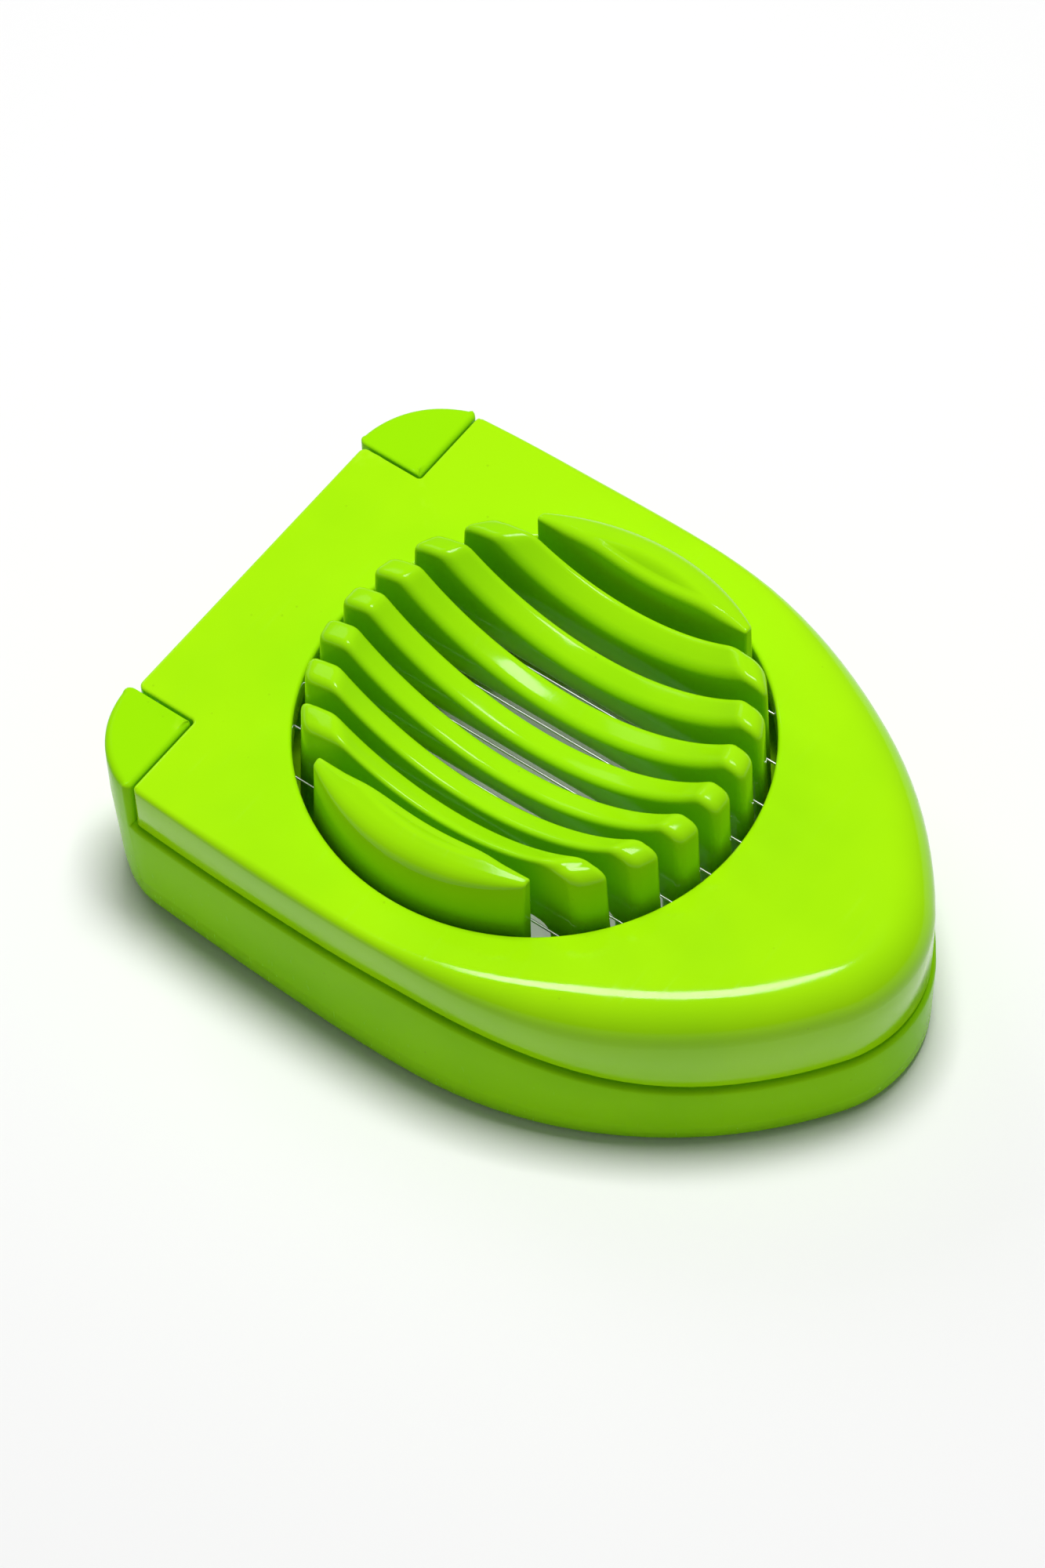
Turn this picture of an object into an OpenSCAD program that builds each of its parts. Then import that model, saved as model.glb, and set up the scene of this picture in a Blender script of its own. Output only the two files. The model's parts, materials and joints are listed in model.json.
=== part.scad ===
// Egg slicer: a base with a slotted egg cradle, and a hinged lid that
// carries the cutting wires. Millimetres, +Z up, lid shown closed.
// The hinge is at +Y, the rounded nose at -Y; Z = 0 is the table.

/* [Lid] */
// Half the width of the lid at its widest
lid_half_w = 45.1; // [42:0.1:48]
// Height of the lid's flat top above the table
lid_top_z = 32; // [30:0.5:34]
// Thickness of the lid's top wall
lid_wall = 2.2; // [1.8:0.1:3]
// Thickness of the lid's side walls
skirt_wall = 2; // [1.6:0.1:2.6]
// Depth of the lid's side wall at the hinge end
lid_depth_rear = 9.5; // [8:0.5:12]
// Depth of the lid's side wall at the nose
lid_depth_nose = 17.5; // [14:0.5:19]
// Radius of the round opening over the cradle
opening_r = 36.8; // [36.6:0.1:37.2]
// Depth of the collar that hangs round the opening
collar_depth = 5; // [4:0.5:6]

/* [Outline] */
// Y of the centre of the opening and of the cradle
bowl_y = 7; // [6.5:0.1:7.5]
// Y of the lid's straight rear edge
rear_y = 61.2; // [60.8:0.1:62]
// Y where the lid is widest
waist_y = 12.9; // [10:0.1:15]
// Radius of the side behind the widest place
side_r = 600; // [400:20:900]
// Radius of the side in front of the widest place
waist_r = 200; // [160:10:240]
// Turn of that arc, in degrees, before the nose arc begins
waist_turn = 4.5; // [3:0.1:6]
// Radius of each of the two side arcs of the nose
arch_r = 74; // [72:0.5:78]
// Radius of the nose tip
nose_r = 21.2; // [20:0.1:22]

/* [Base] */
// How far the base's shoulder stands out past the lid
ledge = 0.8; // [0.5:0.1:1.2]
// Thickness of the base's outer wall
base_wall = 2.4; // [2:0.1:3]
// Height of the deck's top face inside the base
deck_z = 12; // [10:0.5:13]
// Thickness of the deck
deck_t = 2.2; // [1.8:0.1:3]
// Gap between the lid's lower edge and the base's shoulder
part_gap = 0.35; // [0.25:0.05:0.6]

/* [Cradle] */
// Outer radius of the cradle where it stands on the deck
cradle_r = 36.4; // [36:0.1:36.6]
// Outer radius of the cradle at its upper edge
crest_r = 35; // [34.4:0.1:35]
// Distance from one rib to the next
rib_pitch = 7.4; // [7:0.1:7.6]
// Thickness of one rib
rib_t = 4.4; // [4:0.1:4.6]
// Number of ribs between the two end pads
rib_count = 7; // [7:2:7]
// Height of that upper edge above the table, at the nose side
brow_z = 42.9; // [42:0.1:43.2]
// Slope of the brow that rises inwards from the edge to the cup
brow_slope = 0.28; // [0.1:0.02:0.5]
// How much lower that edge is at the hinge side than at the nose side
brow_fall = 2.6; // [0:0.1:3.5]
// Height of the middle of the cup above the table
bowl_low_z = 30.4; // [30:0.1:31]
// Radius of the hollow sphere that the egg lies in
cup_r = 43.5; // [42:0.5:46]
// Thickness of a rib at the middle of the cup
rib_depth = 4.2; // [3.6:0.1:5]
// Radius of the open well under the ribs
well_r = 31.4; // [30:0.1:32]

/* [Cutting wires] */
// Diameter of one cutting wire
wire_d = 0.4; // [0.3:0.1:0.6]
// Depth of the wires below the lid's top
wire_drop = 3.5; // [3.2:0.1:4]
// Width of the groove that each wire lies in
groove_w = 0.8; // [0.7:0.1:1]
// Thickness of the strip that holds the wire ends
anchor_t = 1.2; // [1:0.1:1.4]

/* [Hinge] */
// Inner edge of each ear, measured from the middle
ear_in = 28.9; // [27:0.1:30]
// Y of the front face of each ear
ear_y = 50.5; // [50:0.1:50.8]
// Radius of the ear's outer corner
ear_r = 15.6; // [15:0.1:16]
// Y of the centre of that corner
ear_cy = 47; // [46.6:0.1:47.2]
// Gap between an ear and the lid
ear_gap = 0.45; // [0.4:0.05:0.6]
// Bevel on the top front edge of an ear, which lets the lid turn past it
ear_bevel = 1; // [1:0.1:1.2]
// Height of the hinge axis below the lid's top
axis_drop = 3.2; // [3:0.1:3.6]
// Diameter of the hinge pins
pin_d = 3; // [2.6:0.1:3.2]
// Radial clearance of a pin in its ear
pin_play = 0.05; // [0.02:0.01:0.1]

/* [Hidden] */

lime = [0.62, 0.93, 0.04];
lime_deep = [0.5, 0.8, 0.03];
steel = [0.78, 0.79, 0.8];

arch_x = waist_r - lid_half_w - (waist_r - arch_r) * cos(waist_turn);
arch_y = waist_y - (waist_r - arch_r) * sin(waist_turn);
nose_cy = arch_y - sqrt(pow(arch_r - nose_r, 2) - pow(arch_x, 2));
ear_cx = lid_half_w - side_r
  + sqrt(pow(side_r + ledge - ear_r, 2) - pow(ear_cy - waist_y, 2));
axis_y = rear_y - axis_drop;
axis_z = lid_top_z - axis_drop;
wire_z = lid_top_z - wire_drop;
brow_tilt = atan(brow_fall / (2 * crest_r));
half_pads = (rib_count + 1) / 2 * rib_pitch - rib_t / 2;
wire_count = rib_count + 1;
rear_wall_z = axis_z - 3.6;
rear_rim_z = axis_z - 5.2;
big = 200;

// --- Outlines -------------------------------------------------------------

// Points of an arc round (cx, cy), from angle a0 to a1, in n steps
function arc(cx, cy, r, a0, a1, n) =
  [for (i = [0:n]) let (a = a0 + (a1 - a0) * i / n) [cx + r * cos(a), cy + r * sin(a)]];

// Right half of the outline, grown outwards by d, from a rear corner at y to the tip
function half_outline(d, y) =
  let (turn = atan2(nose_cy - arch_y, arch_x))
  concat(arc(lid_half_w - side_r, waist_y, side_r + d, asin((y - waist_y) / (side_r + d)), 0, 8),
    arc(lid_half_w - waist_r, waist_y, waist_r + d, -0.9, -waist_turn, 4),
    arc(-arch_x, arch_y, arch_r + d, -waist_turn - 3, turn, 13),
    arc(0, nose_cy, nose_r + d, turn - 4, -90, 8));

function mirrored(pts) = [for (i = [len(pts) - 1:-1:0]) [-pts[i][0], pts[i][1]]];

// Pointed-arch outline with a square rear edge at y
module outline(d, y) {
  right = half_outline(d, y);
  polygon(concat(right, mirrored(right)));
}

// The lid's outline: the full outline less the two rear corners
module lid_outline(d, notch) {
  difference() {
    outline(d, rear_y + d);
    for (side = [-1, 1])
      translate([side * (ear_in - notch + big / 2), ear_y - notch + big / 2])
        square([big, big], center = true);
  }
}

// One ear in plan: square inner corner, round outer corner
module ear_outline() {
  intersection() {
    translate([ear_in, ear_y]) square([big, big]);
    translate([ear_cx, ear_cy]) circle(r = ear_r, $fn = 96);
  }
}

module both_sides() {
  children();
  mirror([1, 0, 0]) children();
}

// Side view of the lid's lower edge: level at the rear, lower at the nose
function edge_z(y) =
  let (s = max(0, min(1, (arch_y - y) / (arch_y - nose_cy + 6))))
  lid_top_z - lid_depth_rear - (lid_depth_nose - lid_depth_rear) * (1 - cos(180 * s)) / 2;

// Everything below the parting surface, lowered by drop
module below_parting(drop) {
  steps = 16;
  span = arch_y - nose_cy + 6;
  pts = concat([[big, edge_z(big) - drop]],
    [for (i = [0:steps]) let (y = arch_y - span * i / steps) [y, edge_z(y) - drop]],
    [[-big, edge_z(-big) - drop], [-big, -big], [big, -big]]);
  rotate([90, 0, 90]) translate([0, 0, -big / 2]) linear_extrude(big) polygon(pts);
}

// --- Base -----------------------------------------------------------------

module base_plan(d) {
  outline(d, ear_y);
  difference() {
    outline(d, rear_y + d);
    for (side = [-1, 1])
      translate([side * (ear_in + big / 2), ear_y + big / 2]) square([big, big], center = true);
  }
  both_sides() ear_outline();
}

// Outer wall, level with the parting surface, and higher between the ears
module base_wall_ring() {
  difference() {
    union() {
      intersection() {
        linear_extrude(lid_top_z) base_plan(ledge);
        below_parting(part_gap);
      }
      translate([-ear_in, rear_y + ledge - base_wall, 0]) cube([2 * ear_in, base_wall, rear_rim_z]);
    }
    translate([0, 0, -1]) linear_extrude(big) outline(ledge - base_wall, ear_y + base_wall);
    translate([-ear_in - 4, ear_y, -1]) cube([2 * ear_in + 8, rear_y + ledge - base_wall - ear_y, big]);
  }
}

module base_shell() {
  color(lime_deep) difference() {
    union() {
      base_wall_ring();
      // Deck ring round the open well
      translate([0, 0, deck_z - deck_t]) linear_extrude(deck_t) difference() {
        outline(ledge - base_wall / 2, ear_y + base_wall);
        translate([0, bowl_y]) circle(r = well_r, $fn = 96);
      }
      translate([-ear_in - 6, ear_y, deck_z - deck_t])
        cube([2 * ear_in + 12, rear_y - base_wall / 2 - ear_y, deck_t]);
      // Ears up to the level of the lid's top
      linear_extrude(lid_top_z) both_sides() ear_outline();
    }
    // Bevel on the ears' top front edges
    translate([0, ear_y, lid_top_z]) rotate([45, 0, 0])
      cube([big, ear_bevel * sqrt(2), ear_bevel * sqrt(2)], center = true);
    // Bores for the hinge pins
    both_sides() translate([ear_in - 1, axis_y, axis_z]) rotate([0, 90, 0])
      cylinder(h = 8, d = pin_d + 2 * pin_play, $fn = 48);
  }
}

// --- Cradle ---------------------------------------------------------------

// The whole cradle before it is slotted: a leaning ring under a brow that falls towards
// the hinge, with a hollow sphere cut out
module cradle_block() {
  peak = brow_slope * crest_r / 2;
  body_h = brow_z + peak - deck_z;
  top_r = cradle_r - (cradle_r - crest_r) * body_h / (brow_z - deck_z);
  difference() {
    intersection() {
      translate([0, bowl_y, deck_z]) cylinder(h = body_h, r1 = cradle_r, r2 = top_r, $fn = 128);
      translate([0, bowl_y - crest_r, brow_z]) rotate([-brow_tilt, 0, 0]) translate([0, crest_r, 0]) {
        translate([0, 0, -10 * brow_slope])
          cylinder(h = 10 * brow_slope + peak, r1 = crest_r + 10, r2 = crest_r / 2, $fn = 128);
        translate([0, 0, -brow_z])
          cylinder(h = brow_z - 10 * brow_slope, r = crest_r + 10, $fn = 128);
      }
    }
    translate([0, bowl_y, bowl_low_z + cup_r]) sphere(r = cup_r, $fn = 128);
  }
}

// Open space under the ribs, between their legs
module cradle_well() {
  translate([0, bowl_y, 0]) cylinder(h = bowl_low_z - rib_depth, r = well_r, $fn = 96);
}

module rib(k) {
  x = (k - (rib_count + 1) / 2) * rib_pitch;
  color(lime) difference() {
    intersection() {
      cradle_block();
      translate([x - rib_t / 2, -big / 2, 0]) cube([rib_t, big, big]);
    }
    cradle_well();
  }
}

// One end pad: the solid segment of the cradle past the last slot
module end_pad() {
  color(lime) intersection() {
    cradle_block();
    translate([half_pads, -big / 2, 0]) cube([big, big, big]);
  }
}

// --- Lid ------------------------------------------------------------------

// Where wire k crosses the lid
function wire_x(k) = (k - (wire_count + 1) / 2) * rib_pitch;

module wire(k) {
  reach = sqrt(pow(opening_r + skirt_wall, 2) - pow(wire_x(k), 2)) + anchor_t + 0.3;
  translate([wire_x(k), bowl_y - reach, wire_z]) rotate([-90, 0, 0])
    cylinder(h = 2 * reach, d = wire_d, $fn = 24);
}

module lid_frame() {
  color(lime) difference() {
    union() {
      difference() {
        linear_extrude(lid_top_z) lid_outline(0, ear_gap);
        below_parting(0);
        // Hollow under the top wall
        translate([0, 0, -1]) linear_extrude(lid_top_z - lid_wall + 1)
          lid_outline(-skirt_wall, ear_gap + skirt_wall);
        // The rear wall stops short so that it can swing into the base
        translate([-big / 2, ear_y + 1, 0]) cube([big, big, rear_wall_z]);
      }
      // Collar round the opening
      translate([0, bowl_y, lid_top_z - collar_depth])
        cylinder(h = collar_depth - 0.5, r = opening_r + skirt_wall, $fn = 128);
      // Bosses that hold the hinge pins
      both_sides() translate([ear_in - 10, axis_y, axis_z]) rotate([0, 90, 0])
        cylinder(h = 10 - ear_gap, r = axis_drop, $fn = 48);
    }
    translate([0, bowl_y, -1]) cylinder(h = big, r = opening_r, $fn = 128);
    // Grooves across the collar that the wires lie in
    intersection() {
      translate([0, bowl_y, 0]) cylinder(h = big, r = opening_r + skirt_wall + 0.1, $fn = 128);
      for (k = [1:wire_count])
        translate([wire_x(k) - groove_w / 2, -big / 2, lid_top_z - collar_depth - 1])
          cube([groove_w, big, collar_depth + 1 - wire_drop + wire_d / 2]);
    }
    both_sides() translate([ear_in - 9, axis_y, axis_z]) rotate([0, 90, 0])
      cylinder(h = 20, d = pin_d, $fn = 48);
  }
}

module hinge_pin() {
  color(steel) translate([ear_in - 9, axis_y, axis_z]) rotate([0, 90, 0])
    cylinder(h = 15, d = pin_d, $fn = 48);
}

module cutting_wire(k) {
  color(steel) wire(k);
}

// A curved steel strip outside the collar that holds the ends of the wires
module wire_anchor(side) {
  color(steel) difference() {
    translate([0, bowl_y, wire_z - 1]) intersection() {
      difference() {
        cylinder(h = 2, r = opening_r + skirt_wall + anchor_t, $fn = 128);
        translate([0, 0, -1]) cylinder(h = 4, r = opening_r + skirt_wall, $fn = 128);
      }
      translate([-half_pads - 1, side > 0 ? 0 : -big, -1]) cube([2 * half_pads + 2, big, 4]);
    }
    for (k = [1:wire_count]) wire(k);
  }
}

base_shell();
for (k = [1:rib_count])
  rib(k);
mirror([1, 0, 0]) end_pad();  // end_pad_left
end_pad();  // end_pad_right
mirror([1, 0, 0]) hinge_pin();  // hinge_pin_left
hinge_pin();  // hinge_pin_right
lid_frame();
for (k = [1:wire_count])
  cutting_wire(k);
wire_anchor(-1);  // wire_anchor_front
wire_anchor(1);  // wire_anchor_rear
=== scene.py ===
import json
from math import asin, atan2, cos, degrees, hypot, pi, radians, sin, sqrt

import bmesh
import bpy
from mathutils import Matrix, Vector


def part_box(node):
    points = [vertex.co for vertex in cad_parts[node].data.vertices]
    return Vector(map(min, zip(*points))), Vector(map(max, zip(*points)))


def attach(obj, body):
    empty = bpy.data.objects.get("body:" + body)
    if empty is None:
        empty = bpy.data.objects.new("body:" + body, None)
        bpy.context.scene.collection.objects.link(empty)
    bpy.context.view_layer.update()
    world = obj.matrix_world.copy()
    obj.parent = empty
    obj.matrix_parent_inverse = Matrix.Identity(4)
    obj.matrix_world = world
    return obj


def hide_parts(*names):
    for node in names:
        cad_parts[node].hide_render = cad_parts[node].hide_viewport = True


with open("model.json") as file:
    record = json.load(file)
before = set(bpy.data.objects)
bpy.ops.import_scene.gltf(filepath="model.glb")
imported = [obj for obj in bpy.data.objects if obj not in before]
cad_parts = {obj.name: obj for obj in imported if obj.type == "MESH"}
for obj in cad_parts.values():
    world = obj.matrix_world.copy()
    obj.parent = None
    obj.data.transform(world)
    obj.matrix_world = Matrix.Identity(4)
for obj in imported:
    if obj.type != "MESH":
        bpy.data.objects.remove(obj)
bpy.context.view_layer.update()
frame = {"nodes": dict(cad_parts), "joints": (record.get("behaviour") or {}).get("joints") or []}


# --- Camera -----------------------------------------------------------------
# A long lens looks down on the slicer from the nose end and its left side.

VIEW_AZIMUTH = radians(-52.5)
VIEW_ELEVATION = radians(55.4)
VIEW_ROLL = radians(-1.4)
VIEW_DISTANCE = 0.9
LENS_MM = 137.4
LOOK_AT = Vector((-0.0088, 0.0028, 0.032))

back = Vector((sin(VIEW_AZIMUTH) * cos(VIEW_ELEVATION),
               -cos(VIEW_AZIMUTH) * cos(VIEW_ELEVATION),
               sin(VIEW_ELEVATION)))
right = Vector((cos(VIEW_AZIMUTH), sin(VIEW_AZIMUTH), 0))
up = back.cross(right)
camera = bpy.data.objects.new("camera", bpy.data.cameras.new("camera"))
camera.data.lens = LENS_MM
camera.data.clip_start = 0.01
rolled_right = right * cos(VIEW_ROLL) + up * sin(VIEW_ROLL)
rolled_up = up * cos(VIEW_ROLL) - right * sin(VIEW_ROLL)
turn = Matrix((rolled_right, rolled_up, back)).transposed()
camera.matrix_world = Matrix.Translation(LOOK_AT + back * VIEW_DISTANCE) @ turn.to_4x4()
bpy.context.collection.objects.link(camera)
bpy.context.scene.camera = camera


# --- Lid --------------------------------------------------------------------
# One glossy ABS moulding: a flat top with a round opening, a skirt that is deeper
# towards the nose, and a collar round the opening that the wires cross. It is notched
# at the two rear corners to clear the ears of the base.

lid_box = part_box("lid_frame")
top_z = lid_box[1][2]
half_w = lid_box[1][0]
rear_y = lid_box[1][1]
hinge = Vector(frame["joints"][0]["pos_m"])
cradle_low, cradle_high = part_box("rib_4")
bowl_y = (cradle_low[1] + cradle_high[1]) / 2

WAIST_Y = 0.0129
SIDE_R = 0.6
WAIST_R = 0.2
WAIST_TURN = radians(4.5)
ARCH_R = 0.074
NOSE_R = 0.0212
LID_WALL = 0.0022
SKIRT_WALL = 0.002
DEPTH_REAR = 0.0095
DEPTH_NOSE = 0.0175
OPENING_R = 0.0368
COLLAR_DEPTH = 0.005
EAR_IN = 0.0289
EAR_Y = 0.0505
EAR_GAP = 0.00045
REAR_WALL_Z = hinge.z - 0.0036

arch_x = WAIST_R - half_w - (WAIST_R - ARCH_R) * cos(WAIST_TURN)
arch_y = WAIST_Y - (WAIST_R - ARCH_R) * sin(WAIST_TURN)
nose_cy = arch_y - sqrt((ARCH_R - NOSE_R) ** 2 - arch_x ** 2)


def clamp(value, low=0.0, high=1.0):
    return max(low, min(high, value))


def ease(value):
    """A smooth step from 0 to 1."""
    t = clamp(value)
    return t * t * (3 - 2 * t)


def lid_edge(y):
    """Height of the lid's lower edge: level at the rear, lower at the nose."""
    s = clamp((arch_y - y) / (arch_y - nose_cy + 0.006))
    return top_z - DEPTH_REAR - (DEPTH_NOSE - DEPTH_REAR) * (1 - cos(pi * s)) / 2


# An outline is a list of (point, outward normal, radius, mitre). Moving a point inwards
# by d follows its normal as far as the radius of its corner, then the corner's mitre.

def curve(cx, cy, r, a0, a1, steps):
    """An arc of the outline; r is negative where the outline is hollow."""
    points = []
    for i in range(steps + 1):
        a = radians(a0 + (a1 - a0) * i / steps)
        n = Vector((cos(a), sin(a))) * (1 if r > 0 else -1)
        points.append((Vector((cx, cy)) + n * r, n, abs(r) if r > 0 else 1.0, n))
    return points


def corner(x, y, r, before, after, steps=5):
    """A rounded corner between two edges with the given normals."""
    before, after = Vector(before), Vector(after)
    mitre = (before + after) / (1 + before.dot(after))
    hollow = before.cross(after) > 0
    centre = Vector((x, y)) + mitre * (r if hollow else -r)
    points = []
    for i in range(steps + 1):
        n = before.slerp(after, i / steps)
        place = centre - n * r if hollow else centre + n * r
        points.append((place, n, 1.0 if hollow else r, mitre))
    return points


def straight(a, b, steps):
    """Points between a and b, without the ends; the body lies to the right."""
    a, b = Vector(a), Vector(b)
    way = (b - a).normalized()
    n = Vector((-way.y, way.x))
    return [(a.lerp(b, i / steps), n, 1.0, n) for i in range(1, steps)]


def both_halves(half):
    """The right half, from the middle of the rear to the nose, and its mirror image."""
    def flip(v):
        return Vector((-v.x, v.y))
    left = [(flip(p), flip(n), r, flip(m)) for p, n, r, m in reversed(half)
            if abs(p.x) > 1e-6]
    return half + left


def side_angle(d, y):
    """Angle at which the long rear arc of the side, grown by d, reaches y."""
    return degrees(asin((y - WAIST_Y) / (SIDE_R + d)))


def side_half(d, y):
    """The side from y round to the tip of the nose, grown outwards by d."""
    turn = degrees(atan2(nose_cy - arch_y, arch_x))
    waist = degrees(-WAIST_TURN)
    rear = curve(half_w - SIDE_R, WAIST_Y, SIDE_R + d, side_angle(d, y), 0, 10)
    middle = curve(half_w - WAIST_R, WAIST_Y, WAIST_R + d, 0, waist, 5)
    front = curve(-arch_x, arch_y, ARCH_R + d, waist, turn, 20)
    tip = curve(0, nose_cy, NOSE_R + d, turn, -90, 14)
    return rear + middle[1:] + front[1:] + tip[1:]


def moved_in(point, d):
    """Where a point of an outline goes when the outline is drawn in by d."""
    place, n, r, mitre = point
    return place - n * min(d, r) - mitre * max(d - r, 0)


def start_ring(bm, places):
    """A closed ring of vertices and edges."""
    ring = [bm.verts.new(p) for p in places]
    for a, b in zip(ring, ring[1:] + ring[:1]):
        bm.edges.new((a, b))
    return ring


def ring_edges(bm, ring):
    return [bm.edges.get((a, b)) for a, b in zip(ring, ring[1:] + ring[:1])]


def grow_ring(bm, ring, places):
    """Extrudes a ring and moves its new vertices to the places given."""
    out = bmesh.ops.extrude_edge_only(bm, edges=ring_edges(bm, ring))
    new = {v for v in out["geom"] if isinstance(v, bmesh.types.BMVert)}
    far = [next(e.other_vert(v) for e in v.link_edges if e.other_vert(v) in new)
           for v in ring]
    for v, place in zip(far, places):
        v.co = place
    return far


def fill_between(bm, *rings):
    """Fills a flat region bounded by one ring, or by a ring and the hole inside it."""
    verts = [v for ring in rings for v in ring]
    bmesh.ops.remove_doubles(bm, verts=verts, dist=1e-5)
    verts = {v for v in verts if v.is_valid}
    edges = {e for v in verts for e in v.link_edges
             if len(e.link_faces) < 2 and e.other_vert(v) in verts}
    bmesh.ops.triangle_fill(bm, use_beauty=True, edges=list(edges), normal=(0, 0, 0))


def quarter(steps):
    """Pairs (inset, drop) of a quarter round of radius 1, from the wall to the flat."""
    return [(1 - cos(i / steps * pi / 2), 1 - sin(i / steps * pi / 2))
            for i in range(steps + 1)]


def make_piece(bm, name, body, slot, material, *nodes):
    """Turns a bmesh into a shaded piece that rides on a body and stands for CAD nodes."""
    bmesh.ops.remove_doubles(bm, verts=bm.verts, dist=1e-6)
    bmesh.ops.recalc_face_normals(bm, faces=bm.faces)
    mesh = bpy.data.meshes.new(name)
    bm.to_mesh(mesh)
    bm.free()
    mesh.shade_smooth()
    mesh.materials.append(material)
    piece = bpy.data.objects.new(name, mesh)
    bpy.context.collection.objects.link(piece)
    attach(piece, body)
    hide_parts(*nodes)


def feed(tree, socket, value):
    """Sets an input socket to a value, or links it to another socket."""
    if isinstance(value, bpy.types.NodeSocket):
        tree.links.new(value, socket)
    else:
        socket.default_value = value


def add_node(tree, kind, inputs=(), **settings):
    """A node with its settings and inputs; an input is a value or another socket."""
    node = tree.nodes.new("ShaderNode" + kind)
    for key, value in settings.items():
        setattr(node, key, value)
    for key, value in dict(inputs).items():
        feed(tree, node.inputs[key], value)
    return node


def new_group(name, ins, outs):
    """An empty node group with named float or colour sockets."""
    tree = bpy.data.node_groups.new(name, "ShaderNodeTree")
    for way, sockets in (("INPUT", ins), ("OUTPUT", outs)):
        for label, kind in sockets.items():
            tree.interface.new_socket(label, in_out=way, socket_type="NodeSocket" + kind)
    return tree, tree.nodes.new("NodeGroupInput"), tree.nodes.new("NodeGroupOutput")


def mix_colours(tree, factor, a, b):
    """The colour between a and b at a factor, as an output socket."""
    mix = add_node(tree, "Mix", data_type="RGBA")
    for socket, value in ((mix.inputs[0], factor), (mix.inputs[6], a), (mix.inputs[7], b)):
        feed(tree, socket, value)
    return mix.outputs[2]


# Injection-moulded finish: faint flow clouds in the colour, fine mould texture, a low
# waviness that breaks up highlights, and hairline scratches from washing up
finish, finish_in, finish_out = new_group(
    "moulded_finish",
    {"Colour": "Color", "Cloud Colour": "Color", "Gloss": "Float", "Scratches": "Float"},
    {"Colour": "Color", "Roughness": "Float", "Height": "Float"})
where = add_node(finish, "TexCoord").outputs["Object"]
clouds = add_node(finish, "TexNoise", {"Vector": where, "Scale": 38.0, "Detail": 3.0})
cloud_mask = add_node(finish, "MapRange", {"Value": clouds.outputs["Fac"], "From Min": 0.42,
                                           "From Max": 0.68})
tinted = mix_colours(finish, cloud_mask.outputs["Result"], finish_in.outputs["Colour"],
                     finish_in.outputs["Cloud Colour"])
specks = add_node(finish, "TexVoronoi", {"Vector": where, "Scale": 210.0})
speck_mask = add_node(finish, "MapRange", {"Value": specks.outputs["Distance"], "From Min": 0.0,
                                           "From Max": 0.06, "To Min": 0.35, "To Max": 0.0})
tinted = mix_colours(finish, speck_mask.outputs["Result"], tinted, (0.16, 0.36, 0.004, 1))
finish.links.new(tinted, finish_out.inputs["Colour"])
stretched = add_node(finish, "Mapping", {"Vector": where, "Rotation": (0, 0, 0.6),
                                         "Scale": (60.0, 1500.0, 400.0)})
hairlines = add_node(finish, "TexNoise", {"Vector": stretched.outputs["Vector"], "Scale": 1.0,
                                          "Detail": 2.0})
hairline_mask = add_node(finish, "MapRange", {"Value": hairlines.outputs["Fac"], "From Min": 0.6,
                                              "From Max": 0.75})
scratched = add_node(finish, "Math", {0: hairline_mask.outputs["Result"],
                                      1: finish_in.outputs["Scratches"]}, operation="MULTIPLY")
smears = add_node(finish, "TexNoise", {"Vector": where, "Scale": 95.0, "Detail": 4.0})
smear_mask = add_node(finish, "MapRange", {"Value": smears.outputs["Fac"], "From Min": 0.35,
                                           "From Max": 0.75, "To Min": -0.03, "To Max": 0.06})
rough = add_node(finish, "Math", {0: finish_in.outputs["Gloss"],
                                  1: smear_mask.outputs["Result"]}, operation="ADD")
rough = add_node(finish, "Math", {0: scratched.outputs[0], 1: 0.25, 2: rough.outputs[0]},
                 operation="MULTIPLY_ADD")
finish.links.new(rough.outputs[0], finish_out.inputs["Roughness"])
grain = add_node(finish, "TexNoise", {"Vector": where, "Scale": 2600.0, "Detail": 2.0})
waves = add_node(finish, "TexNoise", {"Vector": where, "Scale": 140.0, "Detail": 1.0})
height = add_node(finish, "Math", {0: waves.outputs["Fac"], 1: 3.0, 2: grain.outputs["Fac"]},
                  operation="MULTIPLY_ADD")
height = add_node(finish, "Math", {0: scratched.outputs[0], 1: -0.6, 2: height.outputs[0]},
                  operation="MULTIPLY_ADD")
finish.links.new(height.outputs[0], finish_out.inputs["Height"])

# Worn edges with a painted highlight: where the surface turns outwards sharply it is paler and
# duller, unevenly; the duller finish is wear, the paler colour is partly wear and partly a
# painted highlight
wear_and_highlight, wear_and_highlight_in, wear_and_highlight_out = new_group(
    "edge_wear_and_highlight",
    {"Colour": "Color", "Worn And Highlight Colour": "Color", "Roughness": "Float", "Amount": "Float"},
    {"Colour": "Color", "Roughness": "Float"})
edges = add_node(wear_and_highlight, "NewGeometry").outputs["Pointiness"]
edge_mask = add_node(wear_and_highlight, "MapRange", {"Value": edges, "From Min": 0.52, "From Max": 0.6})
patches = add_node(wear_and_highlight, "TexNoise", {"Vector": add_node(wear_and_highlight, "TexCoord").outputs["Object"],
                                      "Scale": 420.0, "Detail": 4.0})
patch_mask = add_node(wear_and_highlight, "MapRange", {"Value": patches.outputs["Fac"], "From Min": 0.4,
                                         "From Max": 0.62})
worn_and_highlight = add_node(wear_and_highlight, "Math", {0: edge_mask.outputs["Result"], 1: patch_mask.outputs["Result"]},
                operation="MULTIPLY")
worn_and_highlight = add_node(wear_and_highlight, "Math", {0: worn_and_highlight.outputs[0], 1: wear_and_highlight_in.outputs["Amount"]},
                operation="MULTIPLY")
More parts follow.
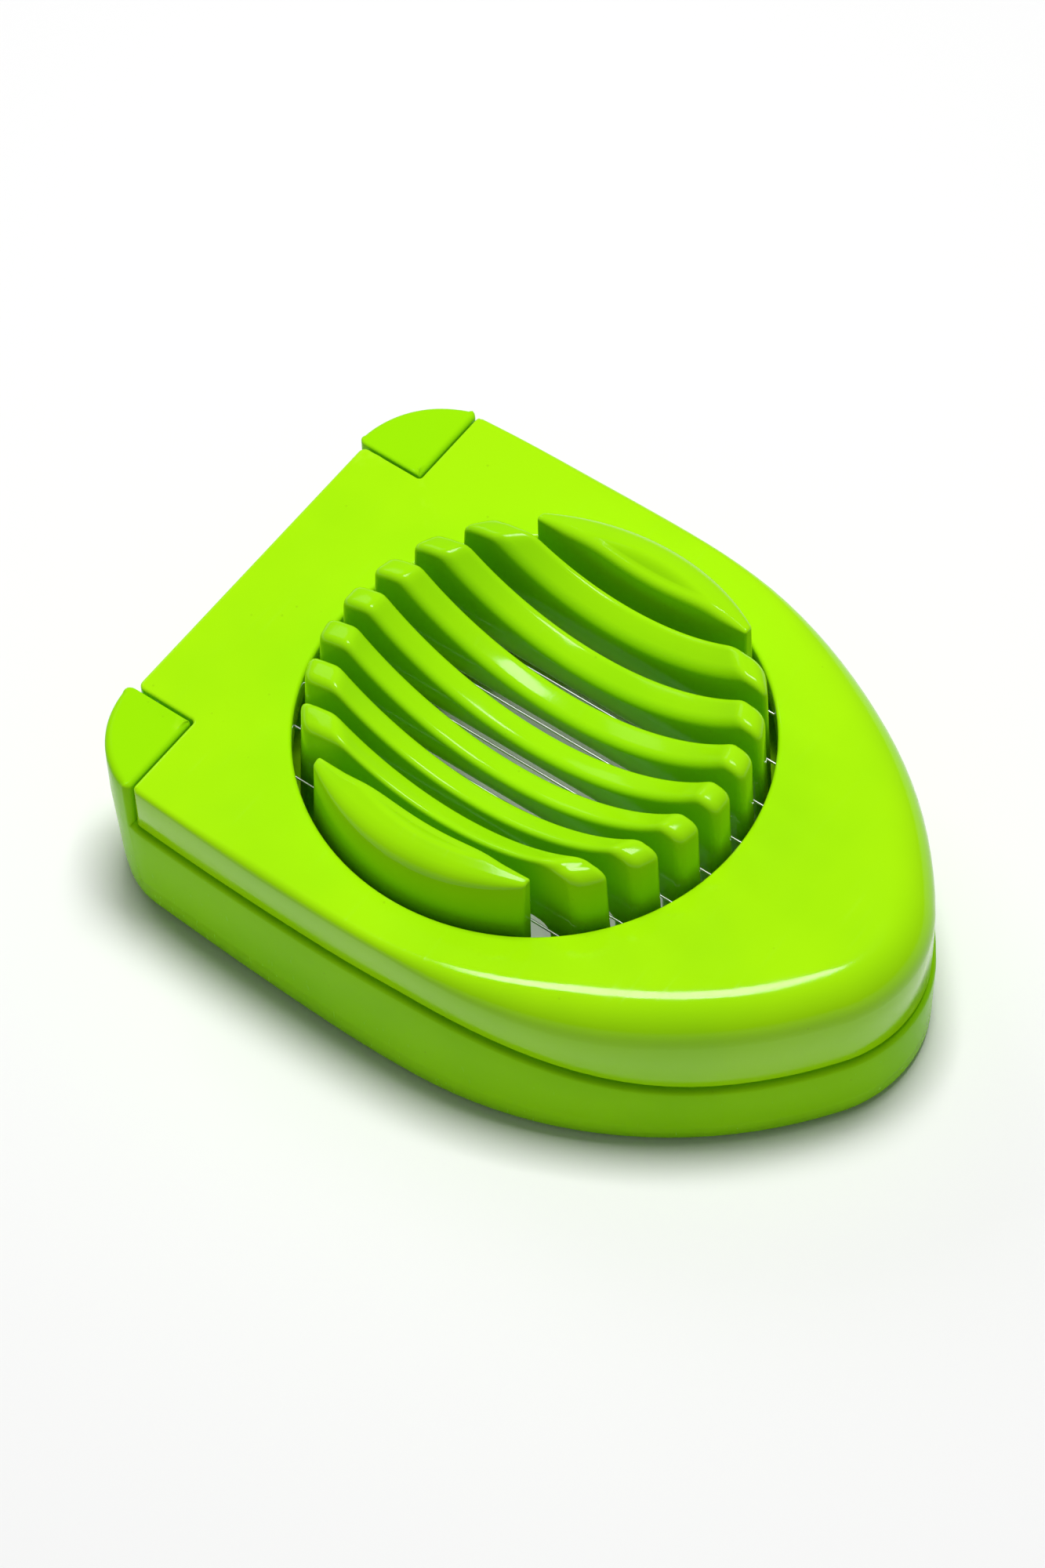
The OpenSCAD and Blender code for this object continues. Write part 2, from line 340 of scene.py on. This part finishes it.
# Paler colour on convex edges: partly wear, partly a painted highlight
wear_and_highlight.links.new(mix_colours(wear_and_highlight, worn_and_highlight.outputs[0], wear_and_highlight_in.outputs["Colour"],
                           wear_and_highlight_in.outputs["Worn And Highlight Colour"]), wear_and_highlight_out.inputs["Colour"])
dulled = add_node(wear_and_highlight, "Math", {0: worn_and_highlight.outputs[0], 1: 0.3, 2: wear_and_highlight_in.outputs["Roughness"]},
                  operation="MULTIPLY_ADD")
wear_and_highlight.links.new(dulled.outputs[0], wear_and_highlight_out.inputs["Roughness"])


def group_node(tree, group, inputs):
    """A node that stands for a group, with values or sockets for its inputs."""
    node = add_node(tree, "Group", node_tree=group)
    for key, value in inputs.items():
        feed(tree, node.inputs[key], value)
    return node


def gloss_plastic(name, colour, cloud, gloss, scratches, reflection):
    """Polished ABS in one colour, with its moulded finish and worn edges that are paler partly
    from a painted highlight.
    """
    material = bpy.data.materials.new(name)
    material.use_nodes = True
    tree = material.node_tree
    shader = tree.nodes["Principled BSDF"]
    shader.inputs["Specular IOR Level"].default_value = reflection
    moulded = group_node(tree, finish, {"Colour": (*colour, 1), "Cloud Colour": (*cloud, 1),
                                        "Gloss": gloss, "Scratches": scratches})
    # Paler convex edges: partly wear, partly a painted highlight
    worn_and_highlit = group_node(tree, wear_and_highlight, {"Colour": moulded.outputs["Colour"],
                                   "Worn And Highlight Colour": (0.50, 0.88, 0.03, 1),
                                   "Roughness": moulded.outputs["Roughness"], "Amount": 0.3})
    bump = add_node(tree, "Bump", {"Height": moulded.outputs["Height"], "Strength": 0.12,
                                   "Distance": 0.00006})
    tree.links.new(worn_and_highlit.outputs["Colour"], shader.inputs["Base Color"])
    tree.links.new(worn_and_highlit.outputs["Roughness"], shader.inputs["Roughness"])
    tree.links.new(bump.outputs["Normal"], shader.inputs["Normal"])
    return material


lid_plastic = gloss_plastic("lid_plastic", (0.385, 0.82, 0.002), (0.35, 0.78, 0.002),
                            0.10, 0.5, 0.16)

notch_x = EAR_IN - EAR_GAP
notch_y = EAR_Y - EAR_GAP
REAR = (0, 1)
SIDE = (1, 0)
lid_side = side_half(0, notch_y)
lid_half = (
    [(Vector((0, rear_y)), Vector(REAR), 1.0, Vector(REAR))]
    + straight((0, rear_y), (notch_x, rear_y), 8)
    + corner(notch_x, rear_y, 0.0012, REAR, SIDE)
    + straight((notch_x, rear_y), (notch_x, notch_y), 4)
    + corner(notch_x, notch_y, 0.0006, SIDE, REAR)
    + straight((notch_x, notch_y), (lid_side[0][0].x - 0.0002, notch_y), 6)
    + corner(lid_side[0][0].x, notch_y, 0.001, REAR, lid_side[0][1])
    + lid_side[1:]
)
lid_outline = both_halves(lid_half)


def lid_round(point):
    """Radius of the round between the lid's top and its wall: broad at the nose."""
    place = point[0]
    if place.y > notch_y - 0.0002:
        return 0.0005
    side_round = 0.0009 + 0.0006 * ease((0.045 - place.y) / 0.02)
    return side_round + 0.005 * ease((0.006 - place.y) / 0.04)


def lid_low(point):
    """Height of the lid's lower edge at a point of its outline."""
    y = point[0].y
    return REAR_WALL_Z if y > notch_y + 0.001 else lid_edge(y)


def lid_ring(inset, height):
    """Places round the lid: inset and height are functions of an outline point."""
    return [moved_in(p, inset(p)).to_3d() + Vector((0, 0, height(p))) for p in lid_outline]


def circle_ring(r, z, count=128):
    """Places round the axis of the opening and the cradle."""
    return [Vector((r * cos(2 * pi * i / count), bowl_y + r * sin(2 * pi * i / count), z))
            for i in range(count)]


SOFT = 0.0003
bm = bmesh.new()
inner = start_ring(bm, lid_ring(lambda p: SKIRT_WALL, lambda p: top_z - LID_WALL))
ring = grow_ring(bm, inner, lid_ring(lambda p: SKIRT_WALL, lambda p: lid_low(p) + SOFT))
ring = grow_ring(bm, ring, lid_ring(lambda p: SKIRT_WALL - SOFT, lid_low))
ring = grow_ring(bm, ring, lid_ring(lambda p: SOFT, lid_low))
ring = grow_ring(bm, ring, lid_ring(lambda p: SOFT * 0.3, lambda p: lid_low(p) + SOFT * 0.3))
ring = grow_ring(bm, ring, lid_ring(lambda p: 0, lambda p: lid_low(p) + SOFT))
ring = grow_ring(bm, ring, lid_ring(lambda p: 0, lambda p: top_z - lid_round(p) - 0.0003))
for side, drop in quarter(7):
    ring = grow_ring(bm, ring, lid_ring(lambda p: lid_round(p) * side,
                                        lambda p: top_z - lid_round(p) * drop))
top_outer = grow_ring(bm, ring, lid_ring(lambda p: lid_round(p) + 0.0005, lambda p: top_z))
RIM = 0.0007
rim = start_ring(bm, circle_ring(OPENING_R + RIM + 0.0005, top_z))
ring = rim
for side, drop in reversed(quarter(5)):
    ring = grow_ring(bm, ring, circle_ring(OPENING_R + RIM * side, top_z - RIM * drop))
collar_z = top_z - COLLAR_DEPTH
for r, z in ((OPENING_R, collar_z + SOFT), (OPENING_R + SOFT, collar_z),
             (OPENING_R + SKIRT_WALL - SOFT, collar_z), (OPENING_R + SKIRT_WALL, collar_z + SOFT),
             (OPENING_R + SKIRT_WALL, top_z - LID_WALL)):
    ring = grow_ring(bm, ring, circle_ring(r, z))
fill_between(bm, top_outer, rim)
fill_between(bm, inner, ring)
# Bosses on the underside that hold the hinge pins
BOSS_DEPTH = 0.009
boss_r = top_z - hinge.z - 0.0001
boss_x = notch_x - BOSS_DEPTH / 2 - 0.0001
for side in (-1, 1):
    boss_place = Matrix.Translation((side * boss_x, hinge.y, hinge.z))
    bmesh.ops.create_cone(
        bm, cap_ends=True, segments=48, radius1=boss_r, radius2=boss_r, depth=BOSS_DEPTH,
        matrix=boss_place @ Matrix.Rotation(pi / 2, 4, "Y"))
make_piece(bm, "lid_cover", "lid", "lid_plastic", lid_plastic, "lid_frame")


# --- Base -------------------------------------------------------------------
# One ABS moulding that the slicer stands on: an outer wall with a rounded shoulder just
# outside the lid's edge, a deck inside it, and the two ears that hold the hinge pins.

base_plastic = gloss_plastic("base_plastic", (0.32, 0.77, 0.002), (0.28, 0.71, 0.002),
                             0.16, 0.6, 0.02)
LEDGE = 0.0008
BASE_WALL = 0.0024
PART_GAP = 0.00035
DECK_Z = 0.012
DECK_T = 0.0022
WELL_R = 0.0314
EAR_R = 0.0156
EAR_CY = 0.047
SHOULDER = 0.0012
rear_rim_z = hinge.z - 0.0052
base_rear = rear_y + LEDGE

# The wall follows the ear's round corner, then cuts across inside the ear
WALL_JOIN_ANGLE = 19
ear_cx = half_w - SIDE_R + sqrt((SIDE_R + LEDGE - EAR_R) ** 2 - (EAR_CY - WAIST_Y) ** 2)
ear_turn = degrees(asin((EAR_CY - WAIST_Y) / (SIDE_R + LEDGE - EAR_R)))
ear_side = curve(ear_cx, EAR_CY, EAR_R, WALL_JOIN_ANGLE, ear_turn, 5)
cut_from = Vector((EAR_IN + 0.002, base_rear))
cut_to, side_normal = ear_side[0][:2]
cut_way = (cut_to - cut_from).normalized()
cut_normal = Vector((-cut_way.y, cut_way.x))
base_half = (
    [(Vector((0, base_rear)), Vector(REAR), 1.0, Vector(REAR))]
    + straight((0, base_rear), cut_from, 8)
    + [(cut_from, Vector(REAR), 0.0, (Vector(REAR) + cut_normal) / (1 + cut_normal.y))]
    + [(cut_to, side_normal, 0.0, (side_normal + cut_normal) / (1 + cut_normal.dot(side_normal)))]
    + ear_side[1:]
    + side_half(LEDGE, EAR_CY + EAR_R * sin(radians(ear_turn)))[1:]
)
base_outline = both_halves(base_half)


def to_rear(point):
    """0 at the nose, 1 at the ears, where the wall leans in and its foot is rounder."""
    return ease((point[0].y + 0.03) / 0.085)


def foot_r(point):
    """Radius of the round between the outer wall and the table."""
    return 0.0016 + 0.0012 * to_rear(point)


def lean(point, z):
    """How far the outer wall has drawn in at a height, from its draft."""
    return (0.0004 + 0.0009 * to_rear(point)) * clamp(1 - z / 0.024)


def base_top(point):
    """Height of the wall: just under the lid's edge, and lower between the ears."""
    y = point[0].y
    return rear_rim_z if y > EAR_Y + 0.002 else lid_edge(y) - PART_GAP


def base_ring(inset, height):
    """Places round the base: inset and height are functions of an outline point."""
    return [moved_in(p, inset(p)).to_3d() + Vector((0, 0, height(p))) for p in base_outline]


bm = bmesh.new()
inner = start_ring(bm, base_ring(lambda p: BASE_WALL, lambda p: base_top(p) - 0.0006))
ring = grow_ring(bm, inner, base_ring(lambda p: BASE_WALL - SOFT, base_top))
ring = grow_ring(bm, ring, base_ring(lambda p: SHOULDER + 0.0003, base_top))
for side, drop in reversed(quarter(6)):
    ring = grow_ring(bm, ring, base_ring(
        lambda p: SHOULDER * side + lean(p, base_top(p) - SHOULDER * drop),
        lambda p: base_top(p) - SHOULDER * drop))
for level in (0.75, 0.5, 0.25, 0.0):
    def wall_z(p):
        return foot_r(p) + (base_top(p) - SHOULDER - foot_r(p)) * level
    ring = grow_ring(bm, ring, base_ring(lambda p: lean(p, wall_z(p)), wall_z))
for side, drop in quarter(6):
    ring = grow_ring(bm, ring, base_ring(lambda p: lean(p, 0) + foot_r(p) * side,
                                         lambda p: foot_r(p) * drop))
ring = grow_ring(bm, ring, base_ring(lambda p: lean(p, 0) + foot_r(p) + 0.0006, lambda p: 0))
ring = grow_ring(bm, ring, base_ring(lambda p: lean(p, 0) + foot_r(p) + 0.0008, lambda p: 0.0003))
ring = grow_ring(bm, ring, base_ring(lambda p: lean(p, 0) + foot_r(p) + 0.0009,
                                     lambda p: DECK_Z - DECK_T))
bmesh.ops.bridge_loops(bm, edges=ring_edges(bm, ring) + ring_edges(bm, inner))

# Deck with the open well under the cradle; the narrow rings by its edges keep the mask of worn
# edges and painted highlight off the flat between them
outer = start_ring(bm, base_ring(lambda p: BASE_WALL / 2, lambda p: DECK_Z))
well = start_ring(bm, circle_ring(WELL_R + 0.0004, DECK_Z))
ring = grow_ring(bm, well, circle_ring(WELL_R, DECK_Z - 0.0004))
ring = grow_ring(bm, ring, circle_ring(WELL_R, DECK_Z - DECK_T))
under = grow_ring(bm, outer, base_ring(lambda p: BASE_WALL / 2, lambda p: DECK_Z - DECK_T))
flat, brim = outer, well
for margin in (0.002, 0.0022):
    flat = grow_ring(bm, flat, base_ring(lambda p: BASE_WALL / 2 + margin, lambda p: DECK_Z))
for margin in (0.0009, 0.0011):
    brim = grow_ring(bm, brim, circle_ring(WELL_R + margin, DECK_Z))
fill_between(bm, flat, brim)
fill_between(bm, under, ring)

# Ears: a quarter round in plan, drawn in with the wall below and level with the lid above
FRONT = (0, -1)
INWARD = (-1, 0)
start_angle = degrees(asin((EAR_Y - EAR_CY) / EAR_R))
stop_angle = 90 + degrees(asin((ear_cx - EAR_IN) / EAR_R))
whole_arc = curve(ear_cx, EAR_CY, EAR_R, stop_angle, start_angle, 2)
rear_tip, front_tip = whole_arc[0], whole_arc[-1]
ear_outline = (
    corner(*rear_tip[0], 0.0014, INWARD, rear_tip[1])
    + curve(ear_cx, EAR_CY, EAR_R, stop_angle - 6, start_angle + 6, 24)
    + corner(*front_tip[0], 0.0011, front_tip[1], FRONT)
    + straight((front_tip[0].x - 0.0012, EAR_Y), (EAR_IN, EAR_Y), 6)
    + corner(EAR_IN, EAR_Y, 0.0003, FRONT, INWARD, 3)
    + straight((EAR_IN, EAR_Y), (EAR_IN, rear_tip[0].y - 0.0012), 6)
)


def ear_round(point):
    """Soft along the outer curve, crisp along the groove between ear and lid."""
    n = point[1]
    return 0.0005 + 0.0004 * ease(-n.y) + 0.0008 * ease(n.x + 0.6) * ease((n.y + 0.15) / 0.7)


def ear_ring(side, inset, height):
    """Places round an ear near its top: every side draws in."""
    out = []
    for p in ear_outline:
        place = moved_in(p, inset(p))
        out.append(Vector((side * place.x, place.y, height(p))))
    return out


def ear_level(side, inset, height):
    """The ear's plan lower down, where its round corner has drawn in."""
    out = []
    for p in ear_outline:
        arm = p[0] - Vector((ear_cx, EAR_CY))
        arm *= min(1, (EAR_R - inset(p)) / arm.length)
        out.append(Vector((side * (ear_cx + arm.x), EAR_CY + arm.y, height(p))))
    return out


for side in (-1, 1):
    low = ring = start_ring(bm, ear_level(
        side, lambda p: lean(p, 0) + foot_r(p), lambda p: 0))
    for s, drop in reversed(quarter(6)):
        ring = grow_ring(bm, ring, ear_level(
            side, lambda p: lean(p, 0) + foot_r(p) * s, lambda p: foot_r(p) * drop))
    for z in (0.006, 0.010, 0.014, 0.018, 0.022, 0.0285):
        ring = grow_ring(bm, ring, ear_level(side, lambda p: lean(p, z), lambda p: z))
    for s, drop in quarter(6):
        ring = grow_ring(bm, ring, ear_ring(side, lambda p: ear_round(p) * s,
                                            lambda p: top_z - ear_round(p) * drop))
    ring = grow_ring(bm, ring, ear_ring(side, lambda p: ear_round(p) + 0.0001, lambda p: top_z))
    fill_between(bm, low)
    fill_between(bm, ring)
make_piece(bm, "base_body", "base", "base_plastic", base_plastic, "base_shell")


# --- Cradle -----------------------------------------------------------------
# Seven cupped ribs and two end pads, moulded with the base. Together they are a leaning
# ring with a hollow sphere cut out of it, slotted for the wires and open underneath.

cradle_plastic = gloss_plastic("cradle_plastic", (0.34, 0.77, 0.002), (0.30, 0.72, 0.002),
                               0.12, 0.4, 0.12)
RIB_T = 0.0044
RIB_PITCH = 0.0074
CRADLE_R = 0.0364
CREST_R = 0.035
BROW_Z = 0.0429
BROW_SLOPE = 0.28
BROW_FALL = 0.0026
CUP_LOW = 0.0304
CUP_R = 0.0435
RIB_DEPTH = 0.0042
RIDGE_SOFT = 0.0012
BEND = 0.0018
EDGE = 0.0013
FOOT_Z = DECK_Z - 0.0008


def cup(r):
    """Height of the hollow sphere at a distance r from the cradle's middle."""
    return CUP_LOW + CUP_R - sqrt(CUP_R ** 2 - r * r)


def brow(y):
    """Height of the brow's outer edge, which falls towards the hinge."""
    return BROW_Z - BROW_FALL * (y + CREST_R) / (2 * CREST_R)


def crown(r, y):
    """Height of the top: the cup, blended into the brow outside the ridge."""
    a, b = cup(r), brow(y) + (CREST_R - r) * BROW_SLOPE
    h = clamp(0.5 + (b - a) / (2 * RIDGE_SOFT))
    return b + (a - b) * h - RIDGE_SOFT * h * (1 - h)


def soft_bend(a, b, c, steps=5):
    """A smooth bend from a past the corner b to c."""
    a, b, c = Vector(a), Vector(b), Vector(c)
    ts = [i / steps for i in range(steps + 1)]
    return [tuple(a.lerp(b, t).lerp(b.lerp(c, t), t)) for t in ts]


brow_end = CREST_R - BEND


def outer_profile(y, bend=BEND):
    """(radius, height) over the brow's edge and down the leaning wall to the deck."""
    top = brow(y)
    spread = CRADLE_R - CREST_R
    points = soft_bend((CREST_R - bend, crown(CREST_R - bend, y)), (CREST_R, top),
                       (CREST_R + spread * bend / (top - DECK_Z), top - bend))
    points += [(CREST_R + spread * t, top - (top - DECK_Z) * t)
               for t in (0.15, 0.3, 0.5, 0.7, 0.85, 1.0)]
    return points + [(CRADLE_R, FOOT_Z)]


def drawn_in(outline, d):
    """A closed outline of (a, b) points moved inwards by d, corners kept sharp."""
    count = len(outline)
    places = []
    for i in range(count):
        before, here, after = (Vector(outline[(i + k) % count]) for k in (-1, 0, 1))
        a = (here - before).normalized()
        b = (after - here).normalized()
        mitre = Vector((-a.y - b.y, a.x + b.x)) / (1 + a.dot(b))
        places.append(here - mitre * d)
    return places


def rib_half(x, way):
    """Half of a rib's side view as (y, z), from its middle to one end (way is 1 or -1)."""
    inner_y = sqrt(WELL_R ** 2 - x * x)
    reach = sqrt(brow_end ** 2 - x * x)
    end_y = sqrt(CREST_R ** 2 - x * x)
    flat_z = CUP_LOW - RIB_DEPTH
    half = [(reach * t, crown(hypot(x, reach * t), way * reach * t))
            for t in ((i / 36) ** 0.8 for i in range(36))]
    half += [(sqrt(r * r - x * x), z) for r, z in outer_profile(way * end_y)]
    half += [(inner_y, FOOT_Z), (inner_y, 0.017), (inner_y, 0.021)]
    half += soft_bend((inner_y, flat_z - 0.002), (inner_y, flat_z), (inner_y - 0.002, flat_z))
    half += [(inner_y * i / 8, flat_z) for i in range(7, -1, -1)]
    return [(way * y, z) for y, z in half]


def rib_side(x):
    """Side view of a rib at x, as (y, z) from the cradle's middle."""
    return rib_half(x, 1) + rib_half(x, -1)[-2:0:-1]


def rib_ring(x, inset):
    """Places round a rib at x, drawn in by inset."""
    return [Vector((x, bowl_y + y, z)) for y, z in drawn_in(rib_side(x), inset)]


def rounded_stations(low, high, edge, steps=5):
    """(position, inset) pairs that round both ends of a slab from low to high."""
    ends = [(edge * drop, edge * side) for side, drop in reversed(quarter(steps))]
    ends = [(0, edge * 1.15)] + ends
    return [(low + a, d) for a, d in ends] + [(high - a, d) for a, d in reversed(ends)]


def make_rib(k):
    middle = (k - 4) * RIB_PITCH
    stations = rounded_stations(middle - RIB_T / 2, middle + RIB_T / 2, EDGE)
    bm = bmesh.new()
    first = ring = start_ring(bm, rib_ring(*stations[0]))
    for x, d in stations[1:]:
        ring = grow_ring(bm, ring, rib_ring(x, d))
    fill_between(bm, first)
    fill_between(bm, ring)
    make_piece(bm, f"cradle_rib_{k}", "base", "cradle_plastic", cradle_plastic, f"rib_{k}")


for k in range(1, 8):
    make_rib(k)

PAD_X = 4 * RIB_PITCH - RIB_T / 2
PAD_EDGE = 0.0016
PAD_BEND = 0.0028
PAD_END_WIDTH = 0.0016
PAD_END_EDGE = 0.0004
PAD_ROUND_SHARE = 0.35
pad_end = sqrt(CREST_R ** 2 - (PAD_X + PAD_END_WIDTH) ** 2)


def pad_section(y):
    """Cross-section of an end pad at y, as (x, z): slot side, cupped top, outer wall."""
    def wall_x(r):
        return sqrt(r * r - y * y)
    width = wall_x(CREST_R) - PAD_X
    bend = min(PAD_BEND, width * PAD_ROUND_SHARE)
    e = min(PAD_EDGE, width * PAD_ROUND_SHARE)
    x0, x1 = PAD_X + e, wall_x(CREST_R - bend)
    z0 = crown(hypot(x0, y), y)
    points = [(PAD_X, FOOT_Z), (PAD_X, 0.019), (PAD_X, 0.026)]
    points += soft_bend((PAD_X, z0 - e), (PAD_X, z0 - e * 0.1), (x0, z0))
    points += [(x0 + (x1 - x0) * i / 16, crown(hypot(x0 + (x1 - x0) * i / 16, y), y))
               for i in range(1, 16)]
    points += [(wall_x(r), z) for r, z in outer_profile(y, bend)]
    return points


def pad_ring(side, y, inset):
    """Places round an end pad at y, drawn in by inset."""
    return [Vector((side * x, bowl_y + y, z)) for x, z in drawn_in(pad_section(y), inset)]


def make_pad(side, node):
    ends = rounded_stations(-pad_end, pad_end, PAD_END_EDGE, 4)
    inner = [pad_end * 0.96 * sin(pi / 2 * t / 18) for t in range(-18, 19)]
    stations = ends[:6] + [(y, 0) for y in inner] + ends[6:]
    bm = bmesh.new()
    first = ring = start_ring(bm, pad_ring(side, *stations[0]))
    for y, d in stations[1:]:
        ring = grow_ring(bm, ring, pad_ring(side, y, d))
    fill_between(bm, first)
    fill_between(bm, ring)
    make_piece(bm, "cradle_" + node, "base", "cradle_plastic", cradle_plastic, node)


make_pad(-1, "end_pad_left")
make_pad(1, "end_pad_right")


# --- Wires, anchors and pins -------------------------------------------------
# Thin stainless wires, drawn straight across the opening under the lid, the two curved
# strips that hold their ends, and the turned pins of the hinge.

# Drawn or turned steel: fine lines along one way, in tone, roughness and height
steel_lines, steel_in, steel_out = new_group(
    "steel_lines", {"Colour": "Color", "Dark Colour": "Color", "Line Scale": "Vector"},
    {"Colour": "Color", "Roughness": "Float", "Height": "Float"})
line_place = add_node(steel_lines, "Mapping", {
    "Vector": add_node(steel_lines, "TexCoord").outputs["Object"],
    "Scale": steel_in.outputs["Line Scale"]})
lines = add_node(steel_lines, "TexNoise", {"Vector": line_place.outputs["Vector"],
                                           "Scale": 1.0, "Detail": 5.0})
line_tone = mix_colours(steel_lines, lines.outputs["Fac"], steel_in.outputs["Colour"],
                        steel_in.outputs["Dark Colour"])
steel_lines.links.new(line_tone, steel_out.inputs["Colour"])
line_rough = add_node(steel_lines, "MapRange", {"Value": lines.outputs["Fac"],
                                                "To Min": 0.16, "To Max": 0.42})
steel_lines.links.new(line_rough.outputs["Result"], steel_out.inputs["Roughness"])
steel_lines.links.new(lines.outputs["Fac"], steel_out.inputs["Height"])


def steel(name, colour, dark, line_scale):
    """Bright stainless steel with its drawing or turning lines."""
    material = bpy.data.materials.new(name)
    material.use_nodes = True
    tree = material.node_tree
    shader = tree.nodes["Principled BSDF"]
    shader.inputs["Metallic"].default_value = 1
    worked = group_node(tree, steel_lines, {"Colour": (*colour, 1), "Dark Colour": (*dark, 1),
                                      "Line Scale": line_scale})
    bump = add_node(tree, "Bump", {"Height": worked.outputs["Height"], "Strength": 0.2,
                                   "Distance": 0.00002})
    tree.links.new(worked.outputs["Colour"], shader.inputs["Base Color"])
    tree.links.new(worked.outputs["Roughness"], shader.inputs["Roughness"])
    tree.links.new(bump.outputs["Normal"], shader.inputs["Normal"])
    return material


wire_steel = steel("wire_steel", (0.80, 0.81, 0.82), (0.58, 0.59, 0.60), (9000, 60, 9000))
pin_steel = steel("pin_steel", (0.72, 0.73, 0.74), (0.50, 0.51, 0.52), (7000, 90, 90))
for name, node in frame["nodes"].items():
    if "wire" in name or "pin" in name:
        node.data.materials.clear()
        node.data.materials.append(pin_steel if "pin" in name else wire_steel)


# --- Floor and light ----------------------------------------------------------
# A plain white floor under a large soft light.

bm = bmesh.new()
bmesh.ops.create_grid(bm, x_segments=1, y_segments=1, size=3)
mesh = bpy.data.meshes.new("floor")
bm.to_mesh(mesh)
bm.free()
floor = bpy.data.objects.new("floor", mesh)
bpy.context.collection.objects.link(floor)
floor_paint = bpy.data.materials.new("floor_paint")
floor_paint.use_nodes = True
floor_shader = floor_paint.node_tree.nodes["Principled BSDF"]
floor_shader.inputs["Base Color"].default_value = (0.9, 0.9, 0.9, 1)
floor_shader.inputs["Roughness"].default_value = 0.7
mesh.materials.append(floor_paint)


def soft_light(name, place, look, wide, tall, power):
    """A rectangular softbox at a place, turned towards the point it looks at."""
    light = bpy.data.lights.new(name, "AREA")
    light.shape = "RECTANGLE"
    light.size = wide
    light.size_y = tall
    light.energy = power
    lamp = bpy.data.objects.new(name, light)
    aim = (Vector(look) - Vector(place)).to_track_quat("-Z", "Y")
    lamp.matrix_world = Matrix.Translation(place) @ aim.to_matrix().to_4x4()
    bpy.context.collection.objects.link(lamp)


soft_light("overhead", (0.12, 0.05, 1.0), (0, 0, 0.03), 0.36, 0.28, 9.3)
soft_light("rear_fill", (0.3, 0.9, 0.7), (0, 0, 0.03), 0.5, 0.5, 1.6)
world = bpy.data.worlds.new("studio")
world.use_nodes = True
sky = world.node_tree.nodes["Background"]
sky.inputs["Color"].default_value = (1, 1, 1, 1)
sky.inputs["Strength"].default_value = 0.14
bpy.context.scene.world = world
bpy.context.scene.view_settings.view_transform = "Standard"
